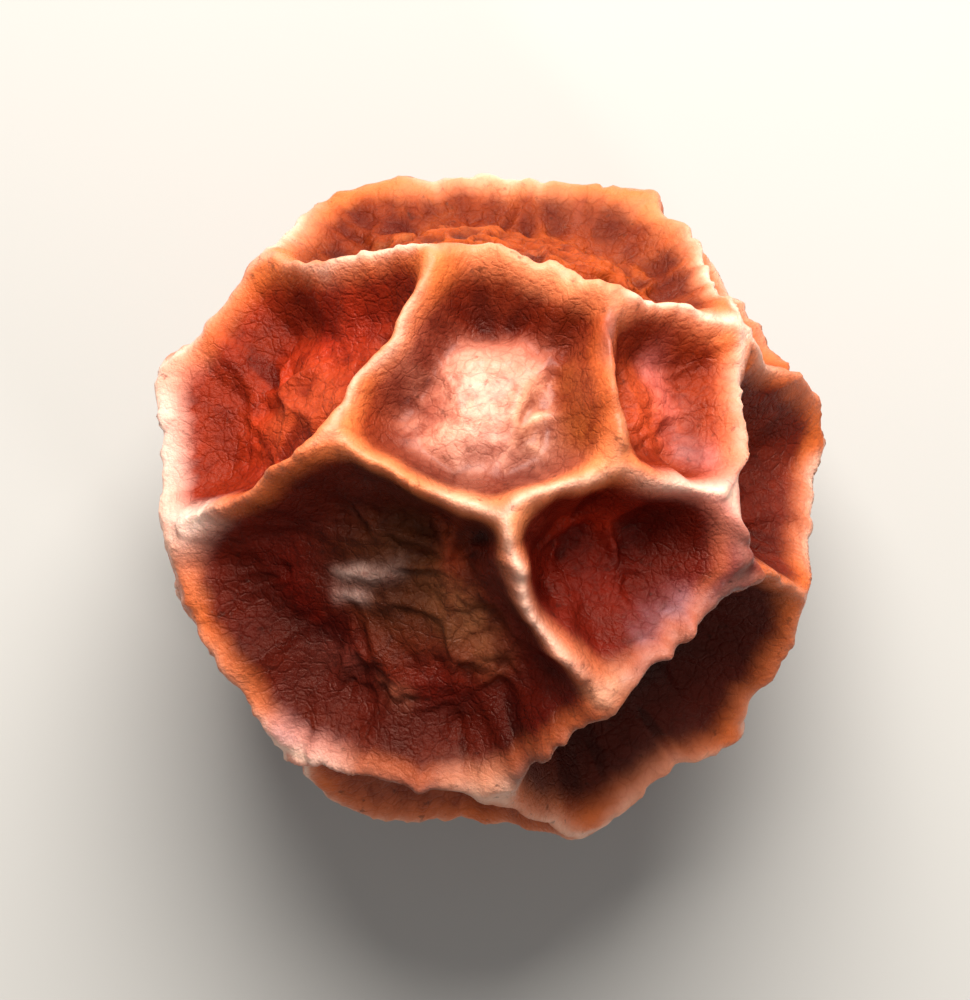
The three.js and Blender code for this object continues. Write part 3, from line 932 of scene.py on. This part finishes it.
def skin_material():
    """Satin dried skin: pale worn ridges whose crest lines are partly painted highlights, painted shade at
    the ridges' feet and in the creases, red-orange slopes, dark mottled floors and a fine grain.
    """
    nodes = Nodes("dried_skin")
    place = nodes.place()
    rib = nodes.spread(nodes.share("rib"), *RIB_VALUES)
    # Where the painted shade of the creases falls
    crease_shade_mask = nodes.spread(nodes.share("relief"), *PAINTED_CREASE_SHADE_VALUES)
    shining = nodes.share("shine")
    wide_cells = nodes.math("MULTIPLY", nodes.leather(place, WIDE_CELLS), nodes.pattern(place, DRY_PATCHES))
    off_ribs = nodes.spread(rib, 0, 1, 1.0, CELLS_ON_RIBS)
    small_cells = nodes.math("MULTIPLY", nodes.leather(place, SMALL_CELLS), off_ribs)

    colour = nodes.tint("tint")
    colour = nodes.shade(colour, nodes.pattern(place, PATCHES), PATCH_SHADE)
    colour = nodes.shade(colour, nodes.pattern(place, MOTTLE), MOTTLE_SHADE)
    # Painted shade at the ridges' feet
    colour = nodes.paint(colour, nodes.share("groove"), FOOT_SHADE_PAINT)
    colour = nodes.paint(colour, rib, RIB_PAINT)
    colour = nodes.mix(nodes.share("rim_share"), colour, nodes.tint("rim"))
    # The pale crest line: partly own paleness, partly a painted highlight
    colour = nodes.paint(colour, nodes.share("crest"), CREST_HIGHLIGHT_PAINT)
    # Painted shade in the creases
    colour = nodes.shade(colour, crease_shade_mask, PAINTED_CREASE_SHADE)
    colour = nodes.shade(colour, wide_cells, WIDE_CELL_SHADE)
    colour = nodes.shade(colour, small_cells, SMALL_CELL_SHADE)
    colour = nodes.paint(colour, nodes.pattern(place, SPECKS), SPECK_PAINT)
    nodes.link(colour, nodes.shader.inputs["Base Color"])

    nodes.link(nodes.pattern(place, ROUGH_PATCHES, *ROUGHNESS), nodes.shader.inputs["Roughness"])
    nodes.shader.inputs["Specular IOR Level"].default_value = 0.18
    nodes.shader.inputs["Specular Tint"].default_value = (1.0, 0.72, 0.58, 1)
    nodes.shader.inputs["Subsurface Weight"].default_value = 0.06
    nodes.shader.inputs["Subsurface Radius"].default_value = (1.0, 0.3, 0.15)
    nodes.shader.inputs["Subsurface Scale"].default_value = 0.25 * MM
    nodes.link(nodes.math("MULTIPLY", shining, COAT), nodes.shader.inputs["Coat Weight"])
    nodes.shader.inputs["Coat Roughness"].default_value = 0.3

    grain = nodes.noise(place, *SKIN_GRAIN)
    height = nodes.math("SUBTRACT", grain, nodes.math("MULTIPLY", small_cells, CELL_DEPTH))
    height = nodes.math("MULTIPLY", height, nodes.spread(shining, 0, 1, 1.0, GRAIN_ON_SHINE))
    bump = nodes.tree.nodes.new("ShaderNodeBump")
    bump.inputs["Strength"].default_value = 0.5
    bump.inputs["Distance"].default_value = 0.05 * MM
    nodes.link(height, bump.inputs["Height"])
    nodes.link(bump.outputs["Normal"], nodes.shader.inputs["Normal"])
    return nodes.material


def make_floor():
    """A plain pale floor, wide enough to fill the picture."""
    corners = [(x * FLOOR_HALF, y * FLOOR_HALF, 0) for x, y in ((-1, -1), (1, -1), (1, 1), (-1, 1))]
    floor = add_mesh("floor", corners, [(0, 1, 2, 3)])
    nodes = Nodes("floor_paint")
    nodes.shader.inputs["Base Color"].default_value = (*to_linear(FLOOR_TINT), 1)
    nodes.shader.inputs["Roughness"].default_value = 0.8
    floor.data.materials.append(nodes.material)


def add_light(name, place, width, power, colour):
    """A round soft light that faces the middle of the berry."""
    light = bpy.data.lights.new(name, "AREA")
    light.shape = "DISK"
    light.size = width
    light.energy = power
    light.color = colour
    lamp = bpy.data.objects.new(name, light)
    lamp.location = place
    aim = Vector((0, 0, HEIGHT / 2 * MM)) - lamp.location
    lamp.rotation_euler = aim.to_track_quat("-Z", "Y").to_euler()
    bpy.context.collection.objects.link(lamp)


def make_lights():
    """A soft key light from the top of the picture, a small weak one from the lower right and a surround."""
    add_light("key", *KEY_LIGHT)
    add_light("fill", *FILL_LIGHT)
    world = bpy.data.worlds.new("surround")
    world.use_nodes = True
    background = world.node_tree.nodes["Background"]
    background.inputs["Color"].default_value = (1, 1, 1, 1)
    background.inputs["Strength"].default_value = SURROUND
    bpy.context.scene.world = world
    bpy.context.scene.view_settings.view_transform = "Standard"


def make_camera():
    """Looks straight down at the berry through a long lens, with +Y at the top of the picture."""
    camera = bpy.data.cameras.new("camera")
    camera.sensor_fit = "HORIZONTAL"
    camera.sensor_width = SENSOR_WIDTH
    camera.lens = SENSOR_WIDTH * VIEW_DISTANCE / VIEW_WIDTH
    camera.clip_start = 1 * MM
    camera.clip_end = 10
    eye = bpy.data.objects.new("camera", camera)
    eye.location = (0, 0, (HEIGHT / 2 + VIEW_DISTANCE) * MM)
    bpy.context.collection.objects.link(eye)
    bpy.context.scene.camera = eye


make_camera()
make_lights()
make_floor()
peppercorn = make_skin()
peppercorn.data.materials.append(skin_material())
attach(peppercorn, "root")
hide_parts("peppercorn")
